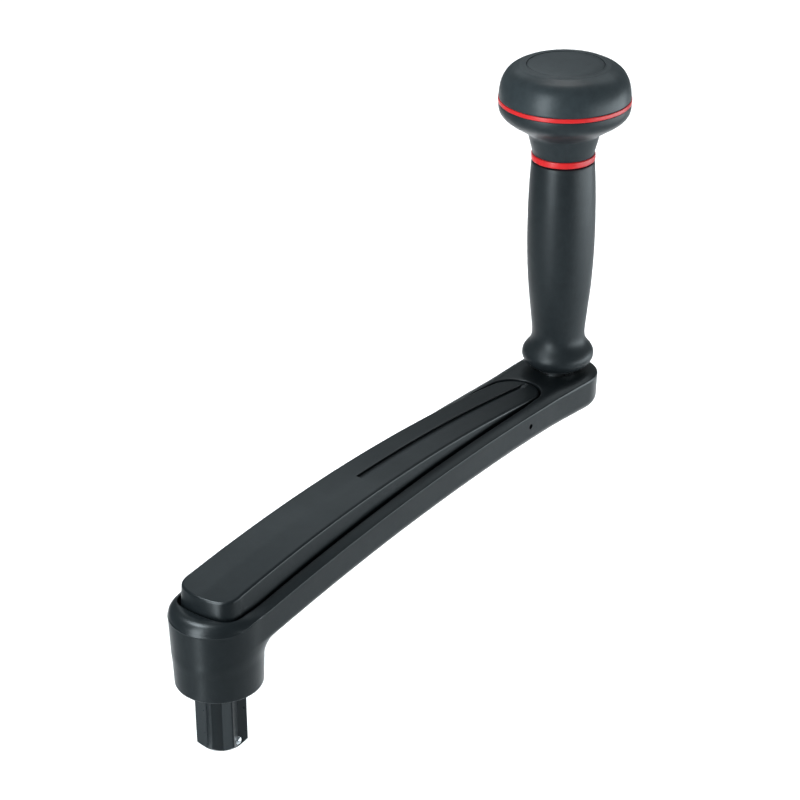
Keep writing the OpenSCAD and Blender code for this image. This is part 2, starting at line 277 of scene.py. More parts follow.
def arc_z(x, r, c):
    return c + np.sqrt(r * r - (x - ARC_X) ** 2)


def arm_top(x):
    a, b, k = arc_z(x, ARM_R, TOP_C), 39.8, 1.0
    h = np.clip(k - np.abs(a - b), 0, None) / k
    return np.maximum(a, b) + h * h * k / 4


def arm_low(x):
    return arc_z(x, LOW_R, LOW_C)


def arm_w(x):
    """Half width of the arm at its crease."""
    return np.where(x < 225, 21.2 - 1.75 * sstep(x, -40, 300) * 1.12, 21.2 - 1.96 * sstep(225, -40, 300)) + 0.75 * sstep(x, 222, 254)


def spine_dist(x, y):
    return np.hypot(np.where(x < 0, x, np.where(x > 254, x - 254, 0)), y)


def edge_in(x, y):
    """How far inside the arm's outline a point of its top lies."""
    return arm_w(np.clip(x, 0, 254)) - spine_dist(x, y)


def shoulder(x):
    """(band, drop, end angle, edge) of the rounded shoulder at x."""
    t = sstep(x, -13, 6)
    e = sstep(x, 210, 262)
    drop = 5.5 + (2.5 - 5.5) * t + (1.5 - 2.5) * e
    ang = np.radians(90 - 62 * t)
    edge = 0.3 + 0.4 * t + 0.4 * e
    return 5.5, drop, ang, edge, t * (1 - e)


def top_z(x, y):
    band, drop, ang, _, plane = shoulder(x)
    e = edge_in(x, y)
    s = np.clip((band - e) / band, 0, 1)
    si = np.sin(ang)
    bowed = (1 - np.sqrt(np.clip(1 - (s * si) ** 2, 0, None))) / (1 - np.cos(ang))
    flat = 0.55 * plane
    return arm_top(x) - drop * ((1 - flat) * bowed + flat * s)


def low_round(x):
    return 4.1 + 0.7 * sstep(x, 120, 250)


def bar_sdf(p):
    x, y, z = p[:, 0], p[:, 1], p[:, 2]
    xx = np.clip(x, 1.0, 254)
    dist = np.hypot(x - xx, y)
    draft = 0.012 + 0.028 * sstep(x, 120, 262)
    d = dist - (arm_w(xx) + draft * (z - (arm_top(xx) - 4.0)))
    b = LOW_R - np.hypot(x - ARC_X, z - LOW_C)
    r = low_round(x)
    u, v = d + r, b + r
    return np.hypot(np.maximum(u, 0), np.maximum(v, 0)) + np.minimum(np.maximum(u, v), 0) - r


def hub_sdf(p):
    x, y, z = p[:, 0], p[:, 1], p[:, 2]
    d = (np.hypot(x, y) - (19.55 + 1.5 * z / 34.1)) * 0.999
    r = 0.9
    u, v = d + r, -z + r
    return np.hypot(np.maximum(u, 0), np.maximum(v, 0)) + np.minimum(np.maximum(u, v), 0) - r


def grad(f, p, h=0.02):
    g = np.zeros_like(p)
    for k in range(3):
        e = np.zeros(3)
        e[k] = h
        g[:, k] = (f(p + e) - f(p - e)) / (2 * h)
    return g


def arm_sdf(p):
    a, b = bar_sdf(p), hub_sdf(p)
    ga, gb = grad(bar_sdf, p), grad(hub_sdf, p)
    dot = (ga * gb).sum(1) / (np.linalg.norm(ga, axis=1) * np.linalg.norm(gb, axis=1) + 1e-9)
    k = 0.8 + 8.5 * np.clip(1 - dot, 0, 1)
    h = np.clip(k - np.abs(a - b), 0, None) / k
    return np.minimum(a, b) - h * h * k / 4


def settle(p, steps=7):
    p = p.copy()
    for _ in range(steps):
        d = arm_sdf(p)
        g = grad(arm_sdf, p)
        n2 = (g * g).sum(1) + 1e-9
        move = g * (d / n2)[:, None]
        length = np.linalg.norm(move, axis=1)
        move *= np.minimum(1, 1.5 / np.maximum(length, 1e-9))[:, None]
        p -= move
    return p


def arm_spokes(path):
    """Near side spokes: origin x, direction, inner and outer radius."""
    out = []
    th, r = polar(path, (0, 0))
    for a in np.linspace(-180, -90, 43)[:-1]:
        t = math.radians(a)
        out.append((0.0, math.cos(t), math.sin(t), float(np.interp(t, th, r)), float(arm_w(np.array(0.0)))))
    xs = np.concatenate([np.linspace(0, 30, 26), np.linspace(30, 222, 112)[1:]])
    for x in xs:
        out.append((x, 0.0, -1.0, float(width_at(path, x)), float(arm_w(np.array(x)))))
    # the end: spokes about (222, 0), evenly spaced round the outer outline
    ring = [(x, -float(arm_w(np.array(x)))) for x in np.linspace(222, 254, 30)]
    re = float(arm_w(np.array(254.0)))
    ring += [(254 + re * math.cos(a), re * math.sin(a)) for a in np.linspace(-PI / 2, 0, 60)[1:]]
    ring = np.array(ring)
    th, r = polar(path, (222, 0))
    for q in ring[1:]:
        d = q - np.array((222, 0))
        ro = np.hypot(*d)
        t = math.atan2(d[1], d[0])
        out.append((222.0, d[0] / ro, d[1] / ro, float(np.interp(t, th, r)), ro))
    return np.array(out)


def make_arm():
    path = CHANNEL
    sp = arm_spokes(path)
    o = np.stack([sp[:, 0], np.zeros(len(sp))], 1)
    d = sp[:, 1:3]
    rin, rout = sp[:, 3], sp[:, 4]
    sx = o[:, 0]

    def plan(r):
        return o + d * r[:, None]

    def loop(xy, z):
        return np.column_stack([xy, z])

    def snap(half):
        half = half.copy()
        half[0, 1] = 0
        half[-1, 1] = 0
        return half

    def floor_z(xy):
        return arc_z(xy[:, 0], FLOOR_R, 54.0 - ARM_R)

    halves = []
    # channel floor and wall
    for q in (0.02, 0.5, 0.93):
        xy = plan(rin * q)
        halves.append(loop(xy, floor_z(xy)))
    xy = plan(rin - 0.02)
    halves.append(loop(xy, floor_z(xy) + 0.15))
    tz = top_z(plan(rin)[:, 0], plan(rin)[:, 1])
    fz = floor_z(xy)
    for q in (0.35, 0.7):
        halves.append(loop(plan(rin), fz + (tz - 0.5 - fz) * q))
    # softened mouth of the channel
    rm = 0.45
    for a in np.radians([0, 22.5, 45, 67.5, 90]):
        xy = plan(rin + rm * (1 - math.cos(a)))
        halves.append(loop(xy, top_z(xy[:, 0], xy[:, 1]) - rm * (1 - math.sin(a))))
    # across the top to the crease
    ex = plan(rout)
    band, drop, ang, edge, plane = shoulder(ex[:, 0])
    flat = 0.55 * plane
    slope = drop * np.sin(ang) ** 2 / (band * (1 - np.cos(ang)) * np.maximum(np.cos(ang), 0.02))
    phi = np.arctan((1 - flat) * slope + flat * drop / band)
    t = edge * np.tan((PI / 2 - phi) / 2) + 0.02
    back = np.maximum(t * np.cos(phi), 0.015)
    r0 = rin + rm
    lip = 0.26 * (1 - sstep(ex[:, 0], -14, -3))
    r1 = rout - np.maximum(back, lip)
    fr = 1 - (1 - np.linspace(0, 1, 15)) ** 1.6
    for q in fr[1:]:
        xy = plan(r0 + (r1 - r0) * q)
        high = plan(r0 + (rout - back - r0) * q)
        halves.append(loop(xy, top_z(high[:, 0], high[:, 1])))
    # the crease's small rounding, and the hub's narrow ledge
    p0 = halves[-1]
    kxy = plan(rout)
    kz = top_z(kxy[:, 0], kxy[:, 1])
    corner = loop(kxy, np.where(lip > 0.01, np.minimum(kz, p0[:, 2] - 0.3 * lip), kz))
    p2 = loop(kxy, kz - t - 0.6 * lip)
    for s in (0.2, 0.4, 0.6, 0.8, 1.0):
        halves.append((1 - s) ** 2 * p0 + 2 * s * (1 - s) * corner + s * s * p2)
    n_fixed = len(halves)
    # side
    r_low = low_round(ex[:, 0])
    x_side = np.clip(ex[:, 0], 0, None)
    z_l1 = arm_low(x_side) + r_low + 0.8
    z_hi = kz - t - 0.6 * lip
    side = plan(rout)
    halves.append(loop(side, z_hi - 0.12))
    for q in (0.06, 0.14, 0.24, 0.36, 0.5, 0.64, 0.78, 0.9, 1.0):
        halves.append(loop(side, z_hi - 0.12 + (z_l1 - z_hi + 0.12) * q))
    # under the arm, and down the hub
    on_hub = 1 - sstep(x_side, 10, 26)
    on_hub = np.where(sx <= 0.001, 1.0, on_hub)
    hubness = on_hub[:, None]
    alpha = np.zeros(len(sp))
    fan = sx <= 0.001
    alpha[fan] = np.arctan2(d[fan, 1], d[fan, 0])
    alpha[0] = -PI
    rest = np.where(~fan)[0]
    near = [i for i in rest if sx[i] < 19]
    far = [i for i in rest if sx[i] >= 19]
    for i in near:
        alpha[i] = math.radians(-90 + 48 * sx[i] / 19)
    for k, i in enumerate(far):
        alpha[i] = math.radians(-42 + 42 * (k + 1) / len(far))
    ca = np.column_stack([np.cos(alpha), np.sin(alpha)])
    inner = plan(rout - r_low - 2.2)
    under = loop(inner, arm_low(inner[:, 0]))
    cone_xy = np.where((sx < 20)[:, None], side, side)
    n_dir = side / np.maximum(np.hypot(side[:, 0], side[:, 1]), 1e-6)[:, None]
    down = loop(n_dir * 20.35, np.full(len(sp), 18.5))
    goal = under * (1 - hubness) + down * hubness
    start = halves[-1]
    for q in (0.08, 0.18, 0.3, 0.42, 0.55, 0.7, 0.85, 1.0):
        a = q * PI / 2
        xy = start[:, :2] + (goal[:, :2] - start[:, :2]) * (1 - math.cos(a))
        z = start[:, 2] + (goal[:, 2] - start[:, 2]) * math.sin(a)
        curve = loop(xy, z)
        line = start + (goal - start) * q
        halves.append(curve * (1 - hubness) + line * hubness)
    start = halves[-1]
    foot_r = 20.2
    f_bar = loop(ca * (foot_r + 7.5), arm_low(ca[:, 0] * (foot_r + 7.5)))
    f_hub = loop(ca * 20.25, np.full(len(sp), 17.0))
    mid = f_bar * (1 - hubness) + f_hub * hubness
    for q in np.linspace(0, 1, 17)[1:]:
        p = start + (mid - start) * q
        zb = arm_low(p[:, 0])
        z = (1 - on_hub) * zb + on_hub * p[:, 2]
        halves.append(loop(p[:, :2], z))
    z_end = 12.5
    for q in np.linspace(0, 1, 11)[1:]:
        a = q * PI / 2
        rr = foot_r - 0.35 + 7.85 * (1 - math.sin(a))
        zz = arm_low(ca[:, 0] * (foot_r + 7.5))
        bar = loop(ca * rr, zz + (z_end - zz) * (1 - math.cos(a)))
        hub = loop(ca * 20.1, np.full(len(sp), 17.0 + (z_end - 17.0) * q))
        halves.append(bar * (1 - hubness) + hub * hubness)
    for z in (9, 6, 3, 1.4, 0.9):
        halves.append(loop(ca * (19.55 + 1.5 * z / 34.1), np.full(len(sp), float(z))))
    for a in np.radians([15, 30, 45, 60, 75, 90]):
        halves.append(loop(ca * (19.55 - 0.9 + 0.9 * math.cos(a)), np.full(len(sp), 0.9 - 0.9 * math.sin(a))))
    n_move = len(halves)
    for r in (16, 8, 0.5):
        halves.append(loop(ca * r, np.zeros(len(sp))))
    # settle the outer skin on the blended shape
    m = len(sp)
    block = np.concatenate(halves[n_fixed:n_move])
    block = settle(block)
    for k in range(n_fixed, n_move):
        halves[k] = block[(k - n_fixed) * m:(k - n_fixed + 1) * m]
    loops = [mirrored(snap(h)) for h in halves]
    arm = loops_object("arm_casting", loops)
    # bores and pockets
    combine(arm, rod("t", 1.32, -40, 40, 40, "y", (204.5, 46)), "DIFFERENCE")
    combine(arm, rod("t", 12.6, 52.4, 70, 128, "z", (254, 0)), "DIFFERENCE")
    combine(arm, rod("t", 10.5, 20, 44, 128, "z", (254, 0)), "DIFFERENCE")
    combine(arm, rod("t", 5.02, 43, 60, 64, "z", (254, 0)), "DIFFERENCE")
    combine(arm, rod("t", 14.6, 24, 31.5, 96, "z"), "DIFFERENCE")
    combine(arm, rod("t", 9.02, 9, 25, 96, "z"), "DIFFERENCE")
    combine(arm, star_solid("t", -1, 10.02, 0.03), "DIFFERENCE")
    combine(arm, box_solid("t", (197.7, -8.6, 42.2), (211.3, 8.6, 47.6)), "DIFFERENCE")
    return arm


# ------------------------------------------------------------------ drive stub

def star_ring(grow=0.0, limit=12.1, n=512, soft=5):
    th = np.arange(n) * 2 * PI / n
    h = 8.73 + grow
    r = np.zeros(n)
    for off in (22.5, 67.5):
        a = th - math.radians(off)
        r = np.maximum(r, h / np.maximum(np.abs(np.cos(a)), np.abs(np.sin(a))))
    r = np.minimum(r, limit + grow)
    if soft:
        k = np.hanning(soft + 2)[1:-1]
        k /= k.sum()
        pad = soft // 2
        r = np.convolve(np.concatenate([r[-pad:], r, r[:pad]]), k, "valid")
    return th, r


def star_solid(name, z0, z1, grow):
    th, r = star_ring(grow)
    n = len(th)
    ring = np.column_stack([r * np.cos(th), r * np.sin(th)])
    v = np.concatenate([np.column_stack([ring, np.full(n, z)]) for z in (z0, z1)])
    f = [(i, (i + 1) % n, n + (i + 1) % n, n + i) for i in range(n)]
    f += [tuple(range(n - 1, -1, -1)), tuple(range(n, 2 * n))]
    return mesh_object(name, v, f)


def make_stub():
    th, r = star_ring()
    n = len(th)
    cs = np.column_stack([np.cos(th), np.sin(th)])
    rows = []

    def ring(rad, z):
        rows.append(np.column_stack([cs * np.broadcast_to(rad, (n,))[:, None], np.full(n, float(z))]))

    zb = -31.6
    ring(6.25, -13.0)
    ring(6.25, zb + 0.6)
    for a in np.radians([30, 60, 90]):
        ring(6.25 + 0.55 * (1 - math.cos(a)), zb + 0.55 * (1 - math.sin(a)) + 0.0)
    ring(8.2, zb)
    ring(9.2, zb)
    ring(9.32, zb + 0.03)
    for h in (0.1, 0.3, 0.6, 1.0, 1.4, 1.8, 2.2, 2.5, 2.7):
        ring(np.minimum(r, 9.36 + h), zb + h)
    ring(r, zb + 3.0)
    for z in (-26, -24, -18, -12, -6, 0, 5):
        ring(r, z)
    ring(r, 9.98)
    ring(8.98, 9.98)
    ring(8.98, 23.95)
    ring(7.98, 23.95)
    ring(7.98, 29.45)
    ring(4.62, 29.45)
    ring(4.62, -13.0)
    verts = np.concatenate(rows)
    faces = band_faces(0, len(rows), n)
    last = (len(rows) - 1) * n
    faces += [(last + i, last + (i + 1) % n, (i + 1) % n, i) for i in range(n)]
    stub = mesh_object("drive_stub_body", verts, faces, 25)
    combine(stub, rod("t", 2.14, -20, 20, 64, "y", (0, -28.2)), "DIFFERENCE")
    combine(stub, rod("t", 2.47, -9.66, 9.66, 64, "y", (0, -28.2)), "DIFFERENCE")
    smooth_by_angle(stub, 22)
    return stub


# ------------------------------------------------------------------ release lever

LEV_R, LEV_X, LEV_TOP = 858.0, 131.5, 59.17


def lever_top(x):
    return LEV_TOP - LEV_R + np.sqrt(LEV_R ** 2 - (x - LEV_X) ** 2)


def make_lever():
    sp = []
    th, r = polar(LEVER_EDGE, (0, 0))
    tl, rl = polar(LEVER_FOOT, (0, 0))
    for a in np.linspace(-180, -90, 49)[:-1]:
        t = math.radians(a)
        sp.append((0.0, math.cos(t), math.sin(t), float(np.interp(t, th, r)), float(np.interp(t, tl, rl))))
    xs = np.unique(np.concatenate([np.linspace(0, 96, 50), [96.7, 96.9, 97.02, 97.14, 97.4], np.linspace(98, 226, 86)]))
    for x in xs:
        if x < 216.6:
            ends = float(width_at(LEVER_EDGE, x)), float(width_at(LEVER_FOOT, x))
        else:
            ends = math.sqrt(12.5 ** 2 - (x - 216.6) ** 2), math.sqrt(12.75 ** 2 - (x - 216.6) ** 2)
        sp.append((x, 0.0, -1.0, *ends))
    th, r = polar(LEVER_EDGE, (226, 0))
    tl, rl = polar(LEVER_FOOT, (226, 0))
    for a in np.linspace(-90, 0, 31)[1:]:
        t = math.radians(a)
        sp.append((226.0, math.cos(t), math.sin(t), float(np.interp(t, th, r)), float(np.interp(t, tl, rl))))
    sp = np.array(sp)
    o = np.stack([sp[:, 0], np.zeros(len(sp))], 1)
    d, rout, foot = sp[:, 1:3], sp[:, 3], sp[:, 4]

    def plan(rad):
        return o + d * np.broadcast_to(rad, (len(sp),))[:, None]

    def top(xy):
        """A very low roof: it falls 0.65 mm from the middle to either edge."""
        y = np.abs(xy[:, 1])
        return lever_top(xy[:, 0]) + 0.2 - 0.65 * np.sqrt(y * y + 1.2) / 14.5

    def loop(xy, z):
        return np.column_stack([xy, np.broadcast_to(z, (len(sp),))])

    x = o[:, 0]
    depth = 1.4 * sstep(x, 96.95, 97.09) * (1 - 0.7 * sstep(x, 223, 226))
    halves = []
    for rad, k in ((0.3, 1.0), (0.85, 0.99), (1.1, 0.92), (1.23, 0.72), (1.29, 0.42), (1.33, 0.13), (1.42, 0.03), (1.55, 0.0)):
        xy = plan(rad)
        halves.append(loop(xy, top(xy) - depth * k))
    re = 1.15
    for q in (0.12, 0.3, 0.5, 0.7, 0.86, 0.95, 1.0):
        xy = plan(1.55 + (rout - re - 1.55) * q)
        halves.append(loop(xy, top(xy)))
    base = plan(rout - re)
    tz = top(base)
    for a in np.radians([12, 25, 38, 51, 64, 77, 90]):
        halves.append(loop(plan(rout - re + re * math.sin(a)), tz - re * (1 - math.cos(a))))
    skirt = arc_z(plan(rout)[:, 0], ARM_R - 2.2, 54.0 - ARM_R)
    skirt = np.minimum(skirt, tz - re - 1.0)
    hi = tz - re
    for q in (0.08, 0.25, 0.5, 0.75, 0.97):
        halves.append(loop(plan(rout + (foot - rout) * q), hi + (skirt - hi) * q))
    halves.append(loop(plan(foot - 0.3), skirt))
    halves.append(loop(plan(foot - 2.1), skirt))
    halves.append(loop(plan(foot - 2.4), skirt + 0.3))
    halves.append(loop(plan(rout - 2.4), np.maximum(skirt + 0.4, tz - 3.2)))
    for q in (0.9, 0.5, 0.1):
        xy = plan((rout - 2.4) * q)
        halves.append(loop(xy, np.maximum(arc_z(xy[:, 0], ARM_R - 1.8, 54.0 - ARM_R), lever_top(xy[:, 0]) - 3.2)))
    out = []
    for h in halves:
        h = h.copy()
        h[0, 1] = h[-1, 1] = 0
        out.append(mirrored(h))
    lever = loops_object("lever_moulding", out)
    # bosses under the top: over the plunger's button, at the pivot, and the foot
    combine(lever, rod("t", 5.0, 38.75, 46.5, 64, "z"), "UNION")
    combine(lever, box_solid("t", (199.5, -8, 42.8), (209.5, 8, 53.4)), "UNION")
    combine(lever, box_solid("t", (218.2, -5, 46.45), (224, 5, 52.6)), "UNION")
    combine(lever, rod("t", 1.3, -40, 40, 40, "y", (204.5, 46)), "DIFFERENCE")
    return lever


# ------------------------------------------------------------------ grip and knob

def make_grip():
    side = spline([(15.3, 56.95), (16.55, 58.2), (17.45, 59.8), (17.85, 61.6), (17.6, 63.4), (16.75, 65.1),
                   (15.45, 66.8), (14.2, 68.6), (13.4, 70.7), (13.12, 73.2), (13.3, 77), (13.85, 82.5), (14.5, 89),
                   (15.1, 95), (15.6, 101), (16.02, 108), (16.35, 116), (16.5, 124), (16.53, 132), (16.4, 141),
                   (16.15, 149), (15.75, 157), (15.4, 162.2)], 0.9)
    foot = [(13.2, 56.25), (14.2, 56.4)]
    top = [(15.3, 163.3), (15.15, 163.85), (14.8, 164.12), (14.3, 164.2)]
    inner = [(10.5, 164.2), (10.5, 158), (8.5, 158), (8.5, 57.7), (10.5, 57.7), (10.5, 56.2), (12.4, 56.2)]
    return revolve("grip_body", foot + side + top + inner)


def dome(r):
    z = 193.35 + 19.47 * max(0.0, 1 - (r / 31.607) ** 5) ** (1 / 2.691)
    return z + 0.2 * math.exp(-((r - 21.8) / 0.9) ** 2) - 0.2 * math.exp(-((r - 19.2) / 1.1) ** 2)


def make_knob():
    rs = list(np.linspace(18.85, 27, 34)) + list(np.linspace(27.3, 30, 14)) + list(np.linspace(30.2, 31.45, 14))
    outer = [(r, dome(r)) for r in rs]
    outer += [(31.53, 197.3), (31.585, 196.8), (31.55, 196.3), (31.42, 196.1), (31.2, 196.02)]
    inner = [(28, 196.02), (28, 189.35), (26.4, 189.35), (26.4, 199), (26, 203), (24.5, 206.2), (22, 208.2),
             (18, 208.9), (14, 208.6), (14, 207.8), (12.02, 207.8), (12.02, 210.0), (18.56, 210.0),
             (18.56, dome(18.85) - 0.2), (18.65, dome(18.85) - 0.05)]
    shell = revolve("knob_upper_shell", outer + inner)
    cap = revolve("knob_cap_disc", [
        (0.02, 210.12), (10.7, 210.12), (10.7, 207.8), (11.95, 207.8), (11.95, 210.12), (18.42, 210.12), (18.42, dome(18.85) - 0.5),
        (18.37, dome(18.85) - 0.3), (18.2, dome(18.85) - 0.16), (17.8, dome(18.85) - 0.06), (15, dome(18.85) + 0.14),
        (12, dome(18.85) + 0.28), (8, dome(18.85) + 0.39), (4, dome(18.85) + 0.45), (0.02, dome(18.85) + 0.47)])
    low = spline([(14.95, 168.12), (15.05, 168.85), (15.35, 170.2), (15.8, 171.85), (16.25, 173.6), (16.75, 175.6),
                  (17.15, 177.3), (17.7, 178.6), (18.9, 179.75), (21.3, 181.25), (24.35, 183.2), (27.4, 185.25),
                  (29.6, 187.1), (30.9, 188.9), (31.55, 190.9), (31.68, 192.6)], 0.5)
    low += [(31.68, 193.4), (31.6, 193.75), (31.4, 193.95), (31.0, 193.99)]
    inner = [(28, 193.99), (28, 189.2), (25, 186.4), (20, 183.6), (12.4, 182.4), (12.4, 198), (10.6, 198), (10.6, 196.9),
             (7.8, 196.9), (7.8, 165.1), (12.98, 165.1), (12.98, 167.92), (14.6, 167.92)]
    base = revolve("knob_lower_shell", low + inner)
    band = revolve("knob_red_band", rounded([(28.02, 194.0), (31.84, 194.0), (31.84, 196.01), (28.02, 196.01)], {1: 0.3, 2: 0.3}, 6))
    ring = revolve("neck_red_ring", rounded([(13, 164.85), (15.45, 164.85), (15.45, 167.9), (13, 167.9)], {1: 0.5, 2: 0.45}, 7))
    return shell, cap, base, band, ring


def make_washer():
    return revolve("thrust_washer_ring", rounded([(6.08, 54.8), (12.0, 54.8), (12.0, 56.1), (6.08, 56.1)], {1: 0.3, 2: 0.3}, 4), seg=96)


# ------------------------------------------------------------------ materials

class Graph:
    def __init__(self, name):
        self.mat = bpy.data.materials.new(name)
        self.mat.use_nodes = True
        self.nt = self.mat.node_tree
        self.nt.nodes.clear()
        self.out = self.node("ShaderNodeOutputMaterial")
        self.bsdf = self.node("ShaderNodeBsdfPrincipled")
        self.link(self.bsdf, "BSDF", self.out, "Surface")
        self.co = self.node("ShaderNodeTexCoord")

    def node(self, kind, **values):
        n = self.nt.nodes.new(kind)
        for k, v in values.items():
            setattr(n, k, v)
        return n

    def link(self, a, ao, b, bi):
        self.nt.links.new(a.outputs[ao], b.inputs[bi])

    def noise(self, scale, detail=3, rough=0.55, stretch=None):
        n = self.node("ShaderNodeTexNoise")
        n.inputs["Scale"].default_value = scale
        n.inputs["Detail"].default_value = detail
        n.inputs["Roughness"].default_value = rough
        if stretch:
            m = self.node("ShaderNodeMapping")
            m.inputs["Scale"].default_value = stretch
            self.link(self.co, "Object", m, "Vector")
            self.link(m, "Vector", n, "Vector")
        else:
            self.link(self.co, "Object", n, "Vector")
        return n

    def ramp(self, src, out, lo, hi, a=0.0, b=1.0):
        m = self.node("ShaderNodeMapRange")
        m.inputs["From Min"].default_value = lo
        m.inputs["From Max"].default_value = hi
        m.inputs["To Min"].default_value = a
        m.inputs["To Max"].default_value = b
        self.link(src, out, m, "Value")
        return m

    def tint(self, fac, low, high):
        m = self.node("ShaderNodeMix", data_type="RGBA")
        m.inputs[6].default_value = (*low, 1)
        m.inputs[7].default_value = (*high, 1)
        self.nt.links.new(fac.outputs[0], m.inputs[0])
        return m

    def bump(self, src, out, strength, distance, before=None):
        b = self.node("ShaderNodeBump")
        b.inputs["Strength"].default_value = strength
        b.inputs["Distance"].default_value = distance
        self.link(src, out, b, "Height")
        if before:
            self.link(before, "Normal", b, "Normal")
        return b


def scaled(c, k):
    return tuple(min(1.0, v * k) for v in c)


def coated(name, base, rough, spec, grain=1500.0, depth=0.00003, spread=0.12, rough_spread=0.05, metallic=0.0, mottle=260.0):
    """A satin coating or moulded plastic with a fine grain and slight cloudiness."""
    g = Graph(name)
    fine = g.noise(grain, 2, 0.5)
    cloud = g.noise(mottle, 4, 0.6)
    large = g.noise(28.0, 3, 0.5)
    f = g.ramp(cloud, "Fac", 0.3, 0.7)
    c = g.tint(f, scaled(base, 1 - spread), scaled(base, 1 + spread))
    g.nt.links.new(c.outputs[2], g.bsdf.inputs["Base Color"])
    r = g.ramp(large, "Fac", 0.3, 0.7, rough - rough_spread, rough + rough_spread)
    g.link(r, "Result", g.bsdf, "Roughness")
    b1 = g.bump(fine, "Fac", 0.8, depth)
    b2 = g.bump(cloud, "Fac", 0.35, depth * 2.2, b1)
    g.link(b2, "Normal", g.bsdf, "Normal")
    g.bsdf.inputs["Specular IOR Level"].default_value = spec
    g.bsdf.inputs["Metallic"].default_value = metallic
    return g.mat


def turned(name, base, rough, metallic=1.0, stretch=(60, 60, 2200), depth=0.000012, spec=0.5):
    """Machined metal with fine lines round its axis."""
    g = Graph(name)
    lines = g.noise(1.0, 3, 0.6, stretch)
    spots = g.noise(400.0, 3, 0.5)
    f = g.ramp(lines, "Fac", 0.3, 0.7)
    c = g.tint(f, scaled(base, 0.88), scaled(base, 1.1))
    g.nt.links.new(c.outputs[2], g.bsdf.inputs["Base Color"])
    r = g.ramp(spots, "Fac", 0.3, 0.7, rough - 0.05, rough + 0.06)
    g.link(r, "Result", g.bsdf, "Roughness")
    b = g.bump(lines, "Fac", 0.6, depth)
    g.link(b, "Normal", g.bsdf, "Normal")
    g.bsdf.inputs["Metallic"].default_value = metallic
    g.bsdf.inputs["Specular IOR Level"].default_value = spec
    return g.mat


ARM = coated("arm_satin_black", (0.0072, 0.0092, 0.0103), 0.33, 0.32, 1300, 0.00003)
LEVER = coated("lever_satin_black", (0.0066, 0.0085, 0.0096), 0.33, 0.32, 1700, 0.000022)
GRIP = coated("grip_charcoal_plastic", (0.0135, 0.017, 0.019), 0.42, 0.34, 1500, 0.00004)
KNOB = coated("knob_charcoal_plastic", (0.033, 0.041, 0.045), 0.4, 0.34, 1500, 0.00004)
# Painted shade: the knob's lower shell and neck wear a darker copy of the knob's charcoal plastic, standing for the
# shade under the knob's overhang.
KNOB_BASE_PAINTED_SHADE = coated("neck_charcoal_plastic_painted_shade", (0.02, 0.025, 0.0278), 0.42, 0.3, 1500, 0.00004)
STUB = turned("stub_blackened_steel", (0.009, 0.0115, 0.013), 0.32, 0.0, (900, 900, 18), 0.00001, 0.3)
RED = coated("red_rings", (0.75, 0.02, 0.022), 0.34, 0.4, 900, 0.00001, 0.06, 0.04)
STEEL = turned("steel_turned", (0.5, 0.51, 0.52), 0.3)
BRIGHT = turned("steel_polished", (0.75, 0.76, 0.77), 0.12, depth=0.000003)
ACETAL = coated("acetal_natural", (0.62, 0.6, 0.54), 0.42, 0.45, 700, 0.00001, 0.04)
# Painted shade: the washer's grey is set far darker than its own light grey, standing for the shade under the grip's
# bead, so only its highlight shows.
WASHER_PAINTED_SHADE = coated("washer_grey_painted_shade", (0.03, 0.035, 0.038), 0.4, 0.5, 900, 0.00001, 0.05)


def wear(obj, mat, body, slot, *nodes):
    obj.data.materials.clear()
    obj.data.materials.append(mat)
    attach(obj, body)
    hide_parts(*nodes)
    return obj


# ------------------------------------------------------------------ put together

wear(make_arm(), ARM, "root", "arm_black", "arm")
wear(make_stub(), STUB, "root", "stub_black", "drive_stub")
wear(make_lever(), LEVER, "lever", "lever_black", "release_lever")
wear(make_grip(), GRIP, "grip", "grip_charcoal", "grip")
shell, cap, base, band, ring = make_knob()
wear(shell, KNOB, "knob", "grip_charcoal", "knob_top")
wear(cap, KNOB, "knob", "grip_charcoal", "knob_cap")
# painted shade: the lower shell and neck get the darker copy of the knob plastic
wear(base, KNOB_BASE_PAINTED_SHADE, "knob", "grip_charcoal", "knob_base")
wear(band, RED, "knob", "red_plastic", "knob_band")
wear(ring, RED, "knob", "red_plastic", "neck_ring")
# painted shade: the washer is given the darkened grey
wear(make_washer(), WASHER_PAINTED_SHADE, "root", "steel", "grip_thrust_washer")

for n, m in {
    "stub_nut": STEEL, "lock_plunger": STEEL, "plunger_button": LEVER, "plunger_spring": STEEL,
    "lock_ball_front": BRIGHT, "lock_ball_rear": BRIGHT, "lever_pivot_pin": STEEL, "spindle": STEEL,
    "spindle_washer": STEEL, "spindle_nut": STEEL, "grip_bush_lower": ACETAL, "grip_bush_upper": ACETAL,
    "grip_circlip": STEEL, "knob_bush": ACETAL, "knob_washer": STEEL, "knob_screw": STEEL,
}.items():
    me = NODES[n].data
    if not me.materials:
        me.materials.append(m)
    for k in range(len(me.materials)):
        me.materials[k] = m

# ------------------------------------------------------------------ stage, light, camera

FLOOR_Z = -300.0        # the handle hangs clear of the floor, as if its stub were held
floor = mesh_object("studio_floor", [(x, y, FLOOR_Z) for x, y in ((-9000, -9000), (9000, -9000), (9000, 9000), (-9000, 9000))], [(0, 1, 2, 3)])
fg = Graph("studio_floor_white")
fn = fg.noise(3.0, 2)
fc = fg.tint(fg.ramp(fn, "Fac", 0.2, 0.8), (0.86, 0.87, 0.88), (0.88, 0.89, 0.9))
fg.nt.links.new(fc.outputs[2], fg.bsdf.inputs["Base Color"])
fg.bsdf.inputs["Roughness"].default_value = 0.9
fg.bsdf.inputs["Specular IOR Level"].default_value = 0.1
floor.data.materials.append(fg.mat)

